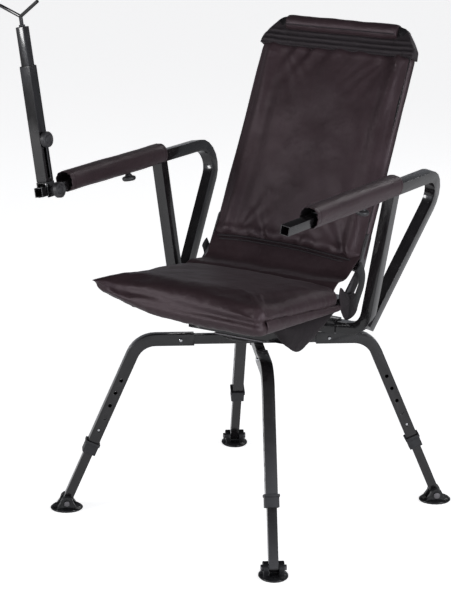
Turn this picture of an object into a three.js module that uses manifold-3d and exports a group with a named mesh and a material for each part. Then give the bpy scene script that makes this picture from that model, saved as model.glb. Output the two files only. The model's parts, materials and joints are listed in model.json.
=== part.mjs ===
// Blind swivel chair: a padded folding seat that turns on a four-legged telescoping base,
// with tubular arms, sliding arm extensions and a rifle rest on the sitter's right arm.
//
// Millimetres, +Z up. The chair faces -Y, so +X is the sitter's left. It is drawn about its swivel
// axis and then moved along x, so that the origin is on the floor under the middle of its outline.

import * as THREE from "three";
import { mergeVertices } from "three/addons/utils/BufferGeometryUtils.js";
import { ConvexGeometry } from "three/addons/geometries/ConvexGeometry.js";
import Module from "manifold-3d";

const wasm = await Module();
wasm.setup();

const DEG = Math.PI / 180;
const GAP = 0.3;                 // running clearance between neighbours
const RING_SIDES = 12;           // facets of a bolt or a hole
const KNOB_SIDES = 20;           // facets of a knob or a foot
const BEND_STEPS = 7;            // facets along a tube bend

// ---- Driving dimensions ---------------------------------------------------------------

const SWIVEL_X = 21.3;           // swivel axis from the origin: the rifle rest hangs out at -X

const TUBE = 25;                 // square tube: legs, arms, mast
const TUBE_BORE = 21;
const SLIDER = 20;               // square tube that slides inside it
const SLIDER_BORE = 16.4;
const BOLT_R = 4;                // M8 bolts and studs
const BOLT_HOLE_R = BOLT_R + GAP;
const BUTTON_R = 3.9;            // snap buttons
const BUTTON_HOLE_R = 4.2;

const BASE = {
  turn: 36.9,                    // first leg, from +X
  axisZ: 388.7,                  // axis of the hub's stubs
  stubEnd: 178,
  rootR: 133.7,                  // where a leg tube starts
  rootHoleR: 163,
  cornerR: 254,                  // where its two straight axes meet
  bend: 55,
  splay: 23.4,                   // lower leg, from the vertical
  tubeEnd: 263,                  // measured down the slope from the corner
  firstHole: 98,
  holePitch: 31,
  holes: 5,
  extensionTop: 177,
  pivotZ: 20,                    // foot pivot above the floor
};

const SWIVEL = { plate: 130, hubTop: 402.7, lowerTop: 405.7, upperBottom: 410.3, upperTop: 413.5 };

const SEAT = {
  pitch: 4.2,                    // front edge up
  z0: 479.5,                     // underside of the frame above the swivel axis
  halfWidth: 198,
  front: -312,
  rear: 20,
  frameHalf: 185,
  frameFront: -272,
  frameRear: 78,
  chamfer: 45,                   // cut-off front corners of the frame
  rail: 20,
  railWidth: 18,
  rearRail: 30,
  crossY: [-66, 62],             // cross members on the swivel plate
  crossZ: 429,
  crossSize: 31,
  crossBore: 25.6,
};

const BACK = {
  lean: 27,                      // from the vertical
  y: 114,                        // bottom of the front face
  z: 557,
  halfWidth: 193,
  height: 491,
  thick: 36,
  tube: 18,
  tubeX: 177.7,
  topX: 152,
  shoulder: 505,
  topZ: 537,
  rollR: 15.5,
  rollHalf: 138,
};

const HINGE = { y: 60, z: 485, plateX: 187, plateThick: 4 };

const ARM = {
  x: 293.1,                      // arm axis at its own height
  z: 747,
  lean: 9.65,                    // outward, from the vertical
  bend: 47,
  front: -270,
  rear: 317,
  footY: 66,                     // rear tube meets the strut
  footDrop: 317,
  strutY: 62,
  stubX: 92,
  knobY: -64,
  extensionFront: -390,
  extensionRear: 60,
  sleeveFront: -298,
  sleeveRear: 68,
};

const MAST = {
  y: -362,                       // tilt pivot, on the arm's axis
  base: 19,
  outerTop: 260,
  slot: [26, 112],
  knobZ: 106,
  innerBottom: 96,
  innerTop: 340,
  forkZ: 361,
  forkRod: 56,
  forkSpread: 61,                // each rod, from the mast's axis
};

// ---- Materials ------------------------------------------------------------------------

function finish(color, roughness, metalness) {
  return new THREE.MeshStandardMaterial({ color, roughness, metalness });
}

const COATED = finish(0x2b2a2d, 0.42, 0.35);
const STEEL = finish(0x8c8b8d, 0.35, 0.9);
const BRIGHT = finish(0xd4d4d6, 0.2, 1.0);
const PLASTIC = finish(0x4b494b, 0.55, 0.0);
const FOOT_PLASTIC = finish(0x1d1c1e, 0.28, 0.0);
const FABRIC = finish(0x35292b, 0.8, 0.0);
const WEBBING = finish(0x1b191a, 0.85, 0.0);

// ---- Solid modelling helpers ----------------------------------------------------------

function signedVolume(positions, index) {
  const [a, b, c] = [new THREE.Vector3(), new THREE.Vector3(), new THREE.Vector3()];
  let six = 0;
  for (let i = 0; i < index.length; i += 3) {
    a.fromArray(positions, 3 * index[i]);
    b.fromArray(positions, 3 * index[i + 1]);
    c.fromArray(positions, 3 * index[i + 2]);
    six += a.dot(b.cross(c));
  }
  return six / 6;
}

function toSolid(geometry) {
  const bare = new THREE.BufferGeometry();
  bare.setAttribute("position", geometry.getAttribute("position").clone());
  bare.setIndex(geometry.getIndex());
  const merged = mergeVertices(bare, 1e-3);
  const positions = merged.getAttribute("position").array;
  const corners = merged.getIndex().array;
  const kept = [];
  for (let i = 0; i < corners.length; i += 3) {
    const [a, b, c] = [corners[i], corners[i + 1], corners[i + 2]];
    if (a !== b && b !== c && c !== a) kept.push(a, b, c);
  }
  if (signedVolume(positions, kept) < 0) kept.reverse();
  const mesh = new wasm.Mesh({
    numProp: 3,
    vertProperties: Float32Array.from(positions),
    triVerts: Uint32Array.from(kept),
  });
  return new wasm.Manifold(mesh);
}

function toGeometry(solid) {
  const mesh = solid.getMesh();
  const geometry = new THREE.BufferGeometry();
  geometry.setAttribute("position", new THREE.BufferAttribute(mesh.vertProperties, 3));
  geometry.setIndex(new THREE.BufferAttribute(mesh.triVerts, 1));
  return geometry;
}

function join(...geometries) {
  const [first, ...rest] = geometries.map(toSolid);
  return toGeometry(rest.reduce((whole, piece) => whole.add(piece), first));
}

function cut(body, ...tools) {
  const whole = toSolid(body);
  return toGeometry(tools.map(toSolid).reduce((left, tool) => left.subtract(tool), whole));
}

// A box given by its limits along x, y and z.
function box([x0, x1], [y0, y1], [z0, z1]) {
  const geometry = new THREE.BoxGeometry(x1 - x0, y1 - y0, z1 - z0);
  return geometry.translate((x0 + x1) / 2, (y0 + y1) / 2, (z0 + z1) / 2);
}

// Turns a geometry made along +Z so that it runs along the named axis.
function along(axis, geometry) {
  if (axis === "x") return geometry.rotateY(90 * DEG);
  if (axis === "y") return geometry.rotateX(-90 * DEG);
  return geometry;
}

function rod(axis, radius, from, to, sides = RING_SIDES) {
  const geometry = new THREE.CylinderGeometry(radius, radius, to - from, sides);
  return along(axis, geometry.rotateX(90 * DEG).translate(0, 0, (from + to) / 2));
}

// A turned solid: profile points are [radius, distance along the axis].
function turned(axis, profile, sides = KNOB_SIDES) {
  const points = profile.map(([radius, height]) => new THREE.Vector2(radius, height));
  const lathe = new THREE.LatheGeometry(points, sides).rotateX(90 * DEG);
  return toGeometry(toSolid(along(axis, lathe)));
}

// The centre line through flat corner points, with an arc of one radius at every inner corner.
function centreLine(corners, radius) {
  const points = corners.map(([x, y]) => new THREE.Vector2(x, y));
  const direction = (i) => points[i + 1].clone().sub(points[i]).normalize();
  const side = (d) => new THREE.Vector2(-d.y, d.x);
  const stations = [{ at: points[0], side: side(direction(0)) }];
  for (let i = 1; i < points.length - 1; i += 1) {
    const [before, after] = [direction(i - 1), direction(i)];
    const turn = Math.atan2(before.cross(after), before.dot(after));
    const setback = radius * Math.tan(Math.abs(turn) / 2);
    const start = points[i].clone().addScaledVector(before, -setback);
    const centre = start.clone().addScaledVector(side(before), radius * Math.sign(turn));
    for (let step = 0; step <= BEND_STEPS; step += 1) {
      const angle = (turn * step) / BEND_STEPS;
      const at = start.clone().rotateAround(centre, angle);
      stations.push({ at, side: side(before).rotateAround(new THREE.Vector2(), angle) });
    }
  }
  const last = points.length - 1;
  stations.push({ at: points[last], side: side(direction(last - 1)) });
  return stations;
}

// A square bar bent along flat corner points, centred on z = 0.
function bentBar(corners, radius, size) {
  const stations = centreLine(corners, radius);
  const left = stations.map((s) => s.at.clone().addScaledVector(s.side, size / 2));
  const right = stations.map((s) => s.at.clone().addScaledVector(s.side, -size / 2));
  const outline = new THREE.Shape([...left, ...right.reverse()]);
  const options = { depth: size, bevelEnabled: false };
  return new THREE.ExtrudeGeometry(outline, options).translate(0, 0, -size / 2);
}

// The same corner points with each end moved outward, or inward when the distance is negative.
function stretched(corners, startBy, endBy) {
  const points = corners.map(([x, y]) => new THREE.Vector2(x, y));
  const last = points.length - 1;
  const atStart = points[0].clone().sub(points[1]).setLength(startBy);
  const atEnd = points[last].clone().sub(points[last - 1]).setLength(endBy);
  points[0].add(atStart);
  points[last].add(atEnd);
  return points.map((p) => [p.x, p.y]);
}

// A plate hulled round circles given as [y, z, radius], between two x values.
function linkPlate(circles, [x0, x1]) {
  const points = [];
  for (const [y, z, radius] of circles) {
    for (let i = 0; i < RING_SIDES; i += 1) {
      const angle = (2 * Math.PI * i) / RING_SIDES;
      const [py, pz] = [y + radius * Math.cos(angle), z + radius * Math.sin(angle)];
      points.push(new THREE.Vector3(x0, py, pz), new THREE.Vector3(x1, py, pz));
    }
  }
  return new ConvexGeometry(points);
}

// A flat-sided prism: outline points in a plane, given thickness along z.
function prism(outline, depth) {
  const shape = new THREE.Shape(outline.map(([x, y]) => new THREE.Vector2(x, y)));
  return new THREE.ExtrudeGeometry(shape, { depth, bevelEnabled: false });
}

function mesh(name, geometry, material) {
  const flat = geometry.index ? geometry.toNonIndexed() : geometry.clone();
  flat.computeVertexNormals();
  const result = new THREE.Mesh(flat, material);
  result.name = name;
  return result;
}

function group(position, rotation, ...children) {
  const result = new THREE.Group();
  result.position.set(...position);
  result.rotation.set(...rotation);
  result.add(...children);
  return result;
}

// ---- Base -----------------------------------------------------------------------------

const SLOPE = [Math.sin(BASE.splay * DEG), -Math.cos(BASE.splay * DEG)];
const PIVOT_S = (BASE.axisZ - BASE.pivotZ) / Math.cos(BASE.splay * DEG);
const PIVOT_R = BASE.cornerR + PIVOT_S * SLOPE[0];

function downLeg(s) {
  return [BASE.cornerR + s * SLOPE[0], BASE.axisZ + s * SLOPE[1]];
}

function hub() {
  const half = SLIDER / 2;
  const [low, high] = [BASE.axisZ - half, BASE.axisZ + half];
  const reach = [-BASE.stubEnd, BASE.stubEnd];
  const bore = [-SLIDER_BORE / 2, SLIDER_BORE / 2];
  const boreZ = [BASE.axisZ + bore[0], BASE.axisZ + bore[1]];
  const bars = join(box(reach, [-half, half], [low, high]), box([-half, half], reach, [low, high]));
  const tools = [rod("z", 6 + GAP, low - 1, SWIVEL.hubTop + 1)];
  for (let k = 0; k < 4; k += 1) {
    const tip = box([70, BASE.stubEnd + 1], bore, boreZ);
    const hole = rod("y", BUTTON_HOLE_R, -TUBE, TUBE).translate(BASE.rootHoleR, 0, BASE.axisZ);
    tools.push(tip.rotateZ(90 * k * DEG), hole.rotateZ(90 * k * DEG));
  }
  const plate = rod("z", 75, high, SWIVEL.hubTop, 32);
  return cut(join(bars, plate), ...tools).rotateZ(BASE.turn * DEG);
}

function legTube() {
  const corners = [[BASE.rootR, BASE.axisZ], [BASE.cornerR, BASE.axisZ], downLeg(BASE.tubeEnd)];
  const bore = bentBar(stretched(corners, 1, 1), BASE.bend, TUBE_BORE);
  const spots = [[BASE.rootHoleR, BASE.axisZ]];
  for (let i = 0; i < BASE.holes; i += 1) spots.push(downLeg(BASE.firstHole + i * BASE.holePitch));
  const holes = spots.map(([r, z]) => rod("z", BUTTON_HOLE_R, -TUBE, TUBE).translate(r, z, 0));
  return cut(bentBar(corners, BASE.bend, TUBE), bore, ...holes).rotateX(90 * DEG);
}

// Collar, extension and button are made with +X down the leg and +Y across it.
function legCollar() {
  const [top, step, bottom] = [BASE.tubeEnd - 11, BASE.tubeEnd + GAP, BASE.tubeEnd + 17];
  const body = box([top + 6, bottom], [-15, 15], [-15, 15]);
  const lip = box([top, top + 6], [-16.5, 16.5], [-16.5, 16.5]);
  const tubeFit = TUBE / 2 + GAP;
  const sliderFit = SLIDER / 2 + GAP;
  const upper = box([top - 1, step], [-tubeFit, tubeFit], [-tubeFit, tubeFit]);
  const lower = box([step - 1, bottom + 1], [-sliderFit, sliderFit], [-sliderFit, sliderFit]);
  return cut(join(body, lip), upper, lower);
}

function legExtension(buttonSide) {
  const half = SLIDER / 2;
  const bore = [-SLIDER_BORE / 2, SLIDER_BORE / 2];
  const bar = box([BASE.extensionTop, PIVOT_S], [-half, half], [-half, half]);
  const end = rod("y", half, -half, half, KNOB_SIDES).translate(PIVOT_S, 0, 0);
  const inside = box([BASE.extensionTop - 1, PIVOT_S - 22], bore, bore);
  const eye = rod("y", BOLT_HOLE_R, -TUBE, TUBE).translate(PIVOT_S, 0, 0);
  const buttonS = BASE.firstHole + (BASE.holes - 1) * BASE.holePitch;
  const window = rod("y", BUTTON_HOLE_R, 0, TUBE).translate(buttonS, 0, 0);
  if (buttonSide < 0) window.rotateX(180 * DEG);
  return cut(join(bar, end), inside, eye, window);
}

// A snap button: a flange inside the tube and a domed pin, pointing along +Y.
function snapButton(tip) {
  const shoulder = SLIDER_BORE / 2 - 2 * GAP;
  const profile = [
    [0, shoulder - 3],
    [5.5, shoulder - 3],
    [5.5, shoulder],
    [BUTTON_R, shoulder],
    [BUTTON_R, tip - 1.6],
    [2.6, tip - 0.4],
    [0, tip],
  ];
  return turned("y", profile, RING_SIDES);
}

function foot() {
  const sole = -BASE.pivotZ;
  const [ear, halfWide, floor] = [14, 22, -11];
  const disc = turned("z", [
    [0, sole],
    [33, sole],
    [36, sole + 2.5],
    [36, sole + 5],
    [31, sole + 9],
    [22, sole + 11.5],
    [0, sole + 12.5],
  ]).scale(1, 0.87, 1);
  const base = [[halfWide, sole + 5], [halfWide, sole + 8], [ear, 0]];
  const crown = [];
  for (let angle = 20; angle <= 160; angle += 20) {
    crown.push([ear * Math.cos(angle * DEG), ear * Math.sin(angle * DEG)]);
  }
  const mirrored = base.map(([x, z]) => [-x, z]).reverse();
  const block = prism([...base, ...crown, ...mirrored], 2 * halfWide);
  block.rotateX(90 * DEG).translate(0, halfWide, 0);
  const half = SLIDER / 2 + 0.75;
  const slot = box([-40, 40], [-half, half], [floor, ear + 1]);
  return cut(join(disc, block), slot, rod("y", BOLT_HOLE_R, -30, 30));
}

function footBolt() {
  const seat = 22 + GAP;
  const shaft = rod("y", BOLT_R, -seat - 1, seat + 1);
  const head = rod("y", 7, -seat - 4, -seat);
  const nut = rod("y", 6.5, seat, seat + 5, 6);
  return join(shaft, head, nut);
}

function leg(name, index) {
  const turn = BASE.turn + 90 * index;
  const buttonSide = index % 3 === 0 ? -1 : 1;       // all the buttons face the chair's front
  const flip = buttonSide < 0 ? 180 * DEG : 0;
  const buttonS = BASE.firstHole + (BASE.holes - 1) * BASE.holePitch;
  const heightTip = TUBE_BORE / 2 - 0.1;
  const slope = group(
    [BASE.cornerR, 0, BASE.axisZ],
    [0, (90 - BASE.splay) * DEG, 0],
    mesh(`leg_collar_${name}`, legCollar(), PLASTIC),
    mesh(`leg_extension_${name}`, legExtension(buttonSide), COATED),
  );
  const heightButton = mesh(`height_button_${name}`, snapButton(heightTip), BRIGHT);
  slope.add(group([buttonS, 0, 0], [flip, 0, 0], heightButton));
  const rootButton = mesh(`hub_button_${name}`, snapButton(TUBE / 2 + 3), BRIGHT);
  const ankle = group(
    [PIVOT_R, 0, BASE.pivotZ],
    [0, 0, 0],
    mesh(`foot_${name}`, foot(), FOOT_PLASTIC),
    mesh(`foot_bolt_${name}`, footBolt(), STEEL),
  );
  return group(
    [0, 0, 0],
    [0, 0, turn * DEG],
    mesh(`leg_tube_${name}`, legTube(), COATED),
    group([BASE.rootHoleR, 0, BASE.axisZ], [flip, 0, 0], rootButton),
    slope,
    ankle,
  );
}

function swivel() {
  const half = SWIVEL.plate / 2;
  const shaftHole = rod("z", 6 + GAP, 380, 430);
  const plate = (z) => cut(box([-half, half], [-half, half], z), shaftHole);
  const ring = cut(
    rod("z", 54, SWIVEL.lowerTop + GAP, SWIVEL.upperBottom - GAP, 32),
    rod("z", 44, 380, 430, 32),
  );
  const hubBottom = BASE.axisZ - SLIDER / 2;
  const bolt = join(
    rod("z", 11, hubBottom - GAP - 6, hubBottom - GAP, 6),
    rod("z", 6, hubBottom - 1, SWIVEL.upperTop + 1),
    rod("z", 10, SWIVEL.upperTop + GAP, SWIVEL.upperTop + 8, 6),
  );
  return [
    mesh("swivel_lower_plate", plate([SWIVEL.hubTop, SWIVEL.lowerTop]), STEEL),
    mesh("swivel_bearing_ring", ring, STEEL),
    mesh("swivel_upper_plate", plate([SWIVEL.upperBottom, SWIVEL.upperTop]), STEEL),
    mesh("swivel_king_bolt", bolt, STEEL),
  ];
}

// ---- Seat -----------------------------------------------------------------------------

// A flat panel with its two front corners cut off.
function cutCornerPanel(half, [front, rear], chamfer, [low, high]) {
  const outline = [
    [-half, rear],
    [-half, front + chamfer],
    [-half + chamfer, front],
    [half - chamfer, front],
    [half, front + chamfer],
    [half, rear],
  ];
  return prism(outline, high - low).translate(0, 0, low);
}

// The seat rails as one slab, every rail narrowed by the inset on both sides.
function railSlab(inset, z) {
  const cornerStep = 2 - Math.SQRT2;                 // chamfer change for each millimetre of offset
  const grow = SEAT.railWidth - inset;
  const [front, rear] = [SEAT.frameFront, SEAT.frameRear];
  const outer = cutCornerPanel(
    SEAT.frameHalf - inset, [front + inset, rear - inset], SEAT.chamfer - cornerStep * inset, z,
  );
  const opening = cutCornerPanel(
    SEAT.frameHalf - grow, [front + grow, rear - SEAT.rearRail + inset],
    SEAT.chamfer - cornerStep * grow, [-30, 30],
  );
  const lengthways = [-105, 105].map((x) => (
    box([x - 11 + inset, x + 11 - inset], [front + grow - 5, rear - SEAT.rearRail + 5], z)
  ));
  const across = box([5 - SEAT.frameHalf, SEAT.frameHalf - 5], [-80 + inset, -52 - inset], z);
  return join(cut(outer, opening), ...lengthways, across);
}

function onSeatPlane(geometry) {
  return geometry.rotateX(-SEAT.pitch * DEG).translate(0, 0, SEAT.z0);
}

function seatFrame() {
  const wall = 3;
  const channel = railSlab(wall, [-1, SEAT.rail - wall]);
  const rails = onSeatPlane(cut(railSlab(0, [0, SEAT.rail]), channel));
  const half = SEAT.crossSize / 2;
  const bore = SEAT.crossBore / 2;
  const crossHalf = [120, 172];
  const [low, high] = [SEAT.crossZ - half, SEAT.crossZ + half];
  const pieces = [rails];
  const bores = [];
  SEAT.crossY.forEach((y, i) => {
    const under = SEAT.z0 - y * Math.tan(SEAT.pitch * DEG);
    pieces.push(box([-crossHalf[i], crossHalf[i]], [y - half, y + half], [low, high]));
    for (const x of [-105, 105]) {
      pieces.push(box([x - 12, x + 12], [y - 12, y + 12], [high - 1, under + SEAT.rail - 1.5]));
    }
    bores.push(box([-200, 200], [y - bore, y + bore], [SEAT.crossZ - bore, SEAT.crossZ + bore]));
  });
  const hingeHoles = rod("x", BOLT_HOLE_R, -200, 200).translate(0, HINGE.y, HINGE.z);
  return cut(join(...pieces), ...bores, hingeHoles);
}

// The cushion lies on the rails, and its front hangs down before them.
function seatPad() {
  const underside = SEAT.rail + GAP;
  const hang = SEAT.frameFront - 2;
  const side = [
    [hang, underside],
    [hang, 3],
    [SEAT.front + 12, 2],
    [SEAT.front, 14],
    [SEAT.front + 2, 58],
    [SEAT.front + 12, 69],
    [SEAT.front + 30, 73],
    [SEAT.rear - 6, 40],
    [SEAT.rear, 33],
    [SEAT.rear, underside],
  ];
  const pad = prism(side, 2 * SEAT.halfWidth).translate(0, 0, -SEAT.halfWidth);
  const notch = [HINGE.plateX - GAP, SEAT.halfWidth + 1];
  const notches = [notch, [-notch[1], -notch[0]]].map((x) => box(x, [-14, SEAT.rear + 1], [0, 80]));
  return onSeatPlane(cut(pad.rotateX(90 * DEG).rotateZ(90 * DEG), ...notches));
}

function seatPouch() {
  const corner = (x, y, z) => new THREE.Vector3(x, y, z);
  const mouth = [];
  for (const x of [126, 186]) {
    for (const y of [-200, 40]) mouth.push(corner(x, y, 473), corner(x, y, 462));
  }
  const tip = [corner(138, -110, 406), corner(172, -110, 410), corner(138, -60, 406), corner(172, -60, 410)];
  return new ConvexGeometry([...mouth, ...tip]);
}

function sideStrap(side) {
  const x = side > 0 ? [196.2, 199] : [-199, -196.2];
  return linkPlate([[118, 548, 12], [76, 476, 24]], x);
}

function hingeBolt(side) {
  const face = HINGE.plateX + HINGE.plateThick + GAP;
  const bolt = join(
    rod("x", 7, 175.5, SEAT.frameHalf - 3 - GAP, 6),
    rod("x", BOLT_R, 176, face + 1),
    rod("x", 8, face, face + 4.5),
  );
  const turnedBolt = side > 0 ? bolt : bolt.rotateZ(180 * DEG);
  return turnedBolt.translate(0, HINGE.y, HINGE.z);
}

// ---- Back -----------------------------------------------------------------------------

function backFrame() {
  const corners = [
    [-BACK.tubeX, -12],
    [-BACK.tubeX, BACK.shoulder],
    [-BACK.topX, BACK.topZ],
    [BACK.topX, BACK.topZ],
    [BACK.tubeX, BACK.shoulder],
    [BACK.tubeX, -12],
  ];
  const bar = bentBar(corners, 25, BACK.tube);
  const bore = bentBar(stretched(corners, 1, 1), 25, BACK.tube - 4);
  return cut(bar, bore).rotateX(90 * DEG).translate(0, BACK.thick / 2, 0);
}

function backPad() {
  const [half, round] = [BACK.halfWidth, 14];
  const plan = new THREE.Shape();
  plan.moveTo(-half + round, 0);
  plan.absarc(half - round, round, round, -90 * DEG, 0);
  plan.absarc(half - round, BACK.thick - round, round, 0, 90 * DEG);
  plan.absarc(-half + round, BACK.thick - round, round, 90 * DEG, 180 * DEG);
  plan.absarc(-half + round, round, round, 180 * DEG, 270 * DEG);
  const options = { depth: BACK.height, bevelEnabled: false, curveSegments: 4 };
  const slab = new THREE.ExtrudeGeometry(plan, options);
  const fit = BACK.tube / 2 + GAP;
  const middle = BACK.thick / 2;
  const channels = [-BACK.tubeX, BACK.tubeX].map((x) => (
    box([x - fit, x + fit], [middle - fit, middle + fit], [-1, BACK.height + 1])
  ));
  const plate = [HINGE.plateX - GAP, HINGE.plateX + HINGE.plateThick + GAP];
  const pockets = [plate, [-plate[1], -plate[0]]].map((x) => box(x, [-1, BACK.thick + 1], [-1, 76]));
  return cut(slab, ...channels, ...pockets);
}

function topRoll() {
  const fit = BACK.tube / 2 + GAP;
  const roll = rod("x", BACK.rollR, -BACK.rollHalf, BACK.rollHalf, KNOB_SIDES);
  return cut(roll, box([-200, 200], [-fit, fit], [-fit, fit])).translate(0, BACK.thick / 2, BACK.topZ);
}

function hingePlate(side) {
  const x = [HINGE.plateX, HINGE.plateX + HINGE.plateThick];
  const knee = [128, 545, 13];
  const plate = join(
    linkPlate([[HINGE.y, HINGE.z, 17], knee], x),
    linkPlate([knee, [160, 607, 10]], x),
  );
  const drilled = cut(plate, rod("x", BOLT_HOLE_R, 180, 200).translate(0, HINGE.y, HINGE.z));
  return side > 0 ? drilled : drilled.translate(-x[0] - x[1], 0, 0);
}

function back() {
  return group(
    [0, BACK.y, BACK.z],
    [-BACK.lean * DEG, 0, 0],
    mesh("back_frame", backFrame(), COATED),
    mesh("back_pad", backPad(), FABRIC),
    mesh("top_roll", topRoll(), FABRIC),
    mesh("lumbar_flap", box([-165, 165], [2, 12], [-25, -GAP]), FABRIC),
  );
}

// ---- Arms -----------------------------------------------------------------------------

// Arm pieces are made in a frame that leans with the arm: +Y is back and +Z up the strut.
function armFrame(side) {
  const lean = ARM.lean * DEG;
  const drop = (ARM.z - SEAT.crossZ) / Math.cos(lean);
  const stub = ARM.x - drop * Math.sin(lean) - ARM.stubX;
  const strut = [
    [-side * stub * Math.cos(lean), -drop - stub * Math.sin(lean)],
    [0, -drop],
    [0, 0],
  ];
  const arm = [[ARM.front, 0], [ARM.rear, 0], [ARM.footY, -ARM.footDrop]];
  const upright = (geometry) => geometry.rotateX(90 * DEG).translate(0, ARM.strutY, 0);
  const lengthways = (geometry) => geometry.rotateX(90 * DEG).rotateZ(90 * DEG);
  const outer = join(
    upright(bentBar(strut, ARM.bend, TUBE)),
    lengthways(bentBar(arm, ARM.bend, TUBE)),
  );
  const strutBore = upright(bentBar(stretched(strut, 1, -TUBE / 2 - 2), ARM.bend, TUBE_BORE));
  const armBore = lengthways(bentBar(stretched(arm, 1, -30), ARM.bend, TUBE_BORE));
  const studHole = rod("z", BOLT_HOLE_R, -TUBE, 0).translate(0, ARM.knobY, 0);
  return cut(outer, strutBore, armBore, studHole);
}

function armSleeve() {
  const [half, low, high, corner] = [22, -15.5, 30, 12];
  const outline = [
    [-half, low + corner * 0.6],
    [-half + corner * 0.6, low],
    [half - corner * 0.6, low],
    [half, low + corner * 0.6],
    [half, high - corner],
    [half - corner, high],
    [-half + corner, high],
    [-half, high - corner],
  ];
  const length = ARM.sleeveRear - ARM.sleeveFront;
  const body = prism(outline, length).rotateX(90 * DEG).translate(0, ARM.sleeveRear, 0);
  const fit = TUBE / 2 + GAP;
  const hollow = box([-fit - 2, fit + 2], [-400, 100], [-fit, 18]);
  const strutSlot = box([-fit - 1, fit + 1], [ARM.strutY - fit - 1, 100], [-20, 0]);
  const neckHole = rod("z", 8, -20, 0).translate(0, ARM.knobY, 0);
  return cut(body, hollow, strutSlot, neckHole);
}

function armExtension(drilled) {
  const half = SLIDER / 2;
  const bore = [-SLIDER_BORE / 2, SLIDER_BORE / 2];
  const bar = box([-half, half], [ARM.extensionFront, ARM.extensionRear], [-half, half]);
  const inside = box(bore, [ARM.extensionFront - 1, ARM.extensionRear + 1], bore);
  const eye = rod("x", BOLT_HOLE_R, -TUBE, TUBE).translate(0, MAST.y, 0);
  return drilled ? cut(bar, inside, eye) : cut(bar, inside);
}

// A mushroom clamp knob hanging under the arm; its stud presses on the extension.
function armKnob() {
  const profile = [
    [0, -SLIDER / 2 - 2 * GAP],
    [BOLT_R, -SLIDER / 2 - 2 * GAP],
    [BOLT_R, -16],
    [6.5, -17],
    [8, -21],
    [14, -23],
    [15, -25],
    [15, -29],
    [12, -32],
    [0, -32.5],
  ];
  return turned("z", profile).translate(0, ARM.knobY, 0);
}

function arm(name, side, ...extras) {
  return group(
    [side * ARM.x, 0, ARM.z],
    [0, side * ARM.lean * DEG, 0],
    mesh(`arm_frame_${name}`, armFrame(side), COATED),
    mesh(`arm_sleeve_${name}`, armSleeve(), FABRIC),
    mesh(`arm_extension_${name}`, armExtension(extras.length > 0), COATED),
    mesh(`arm_knob_${name}`, armKnob(), PLASTIC),
    ...extras,
  );
}

// ---- Rifle rest -----------------------------------------------------------------------

// A round hand knob: profile from its stud side out to its face, along +X.
function handKnob(stud, neck, disc) {
  const [rim, thick] = [16.5, 11];
  const face = disc + thick;
  return turned("x", [
    ...stud,
    [neck[0], neck[1]],
    [rim - 6, disc],
    [rim - 1, disc],
    [rim, disc + 1.5],
    [rim, face - 1.5],
    [rim - 1.5, face],
    [11.5, face],
    [10.5, face - 2],
    [8, face - 2],
    [7.5, face - 0.5],
    [0, face - 0.5],
  ]);
}

function tiltKnob() {
  const cheek = SLIDER / 2 + 3.5 + GAP;
  const stud = [[0, -cheek - 4.5], [7, -cheek - 4.5], [7, -cheek], [BOLT_R, -cheek], [BOLT_R, cheek]];
  return handKnob(stud, [6.5, cheek], 28);
}

function mastKnob() {
  const stud = [[0, 8.6], [BOLT_R, 8.6], [BOLT_R, TUBE / 2 + GAP]];
  return handKnob(stud, [8, TUBE / 2 + GAP], 15).translate(0, 0, MAST.knobZ);
}

function mastClevis() {
  const [inner, outer] = [SLIDER / 2 + 0.5, SLIDER / 2 + 3.5];
  const body = box([-outer, outer], [-13, 13], [-13, MAST.base]);
  const mouth = box([-inner, inner], [-20, 20], [-20, MAST.base - 3]);
  return cut(body, mouth, rod("x", BOLT_HOLE_R, -20, 20));
}

function mastOuter() {
  const [half, bore] = [TUBE / 2, TUBE_BORE / 2];
  const bar = box([-half, half], [-half, half], [MAST.base, MAST.outerTop]);
  const inside = box([-bore, bore], [-bore, bore], [MAST.base + 3, MAST.outerTop + 1]);
  const slotHalf = BOLT_R + GAP;
  const slot = box([0, TUBE], [-slotHalf, slotHalf], MAST.slot);
  return cut(bar, inside, slot);
}

function mastInner() {
  const [half, bore] = [SLIDER / 2, SLIDER_BORE / 2];
  const bar = box([-half, half], [-half, half], [MAST.innerBottom, MAST.innerTop]);
  const inside = box([-bore, bore], [-bore, bore], [MAST.innerBottom - 1, MAST.innerTop - 10]);
  const socket = rod("z", BOLT_HOLE_R, MAST.innerTop - 12, MAST.innerTop + 1);
  const studHole = rod("x", BOLT_HOLE_R, 0, TUBE).translate(0, 0, MAST.knobZ);
  return cut(bar, inside, socket, studHole);
}

function fork() {
  const stem = rod("z", BOLT_R, MAST.innerTop - 8, MAST.forkZ + 2);
  const collar = rod("z", 6.5, MAST.innerTop + GAP, MAST.innerTop + 4);
  const arms = [-1, 1].map((side) => (
    rod("z", 3.7, 0, MAST.forkRod).rotateY(side * MAST.forkSpread * DEG).translate(0, 0, MAST.forkZ)
  ));
  return join(stem, collar, ...arms);
}

function rifleRest() {
  return group(
    [0, MAST.y, 0],
    [0, 0, 0],
    mesh("mast_clevis", mastClevis(), COATED),
    mesh("tilt_knob", tiltKnob(), PLASTIC),
    mesh("mast_outer", mastOuter(), COATED),
    mesh("mast_inner", mastInner(), COATED),
    mesh("mast_knob", mastKnob(), PLASTIC),
    mesh("fork", fork(), COATED),
  );
}

// ---- Assembly -------------------------------------------------------------------------

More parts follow.
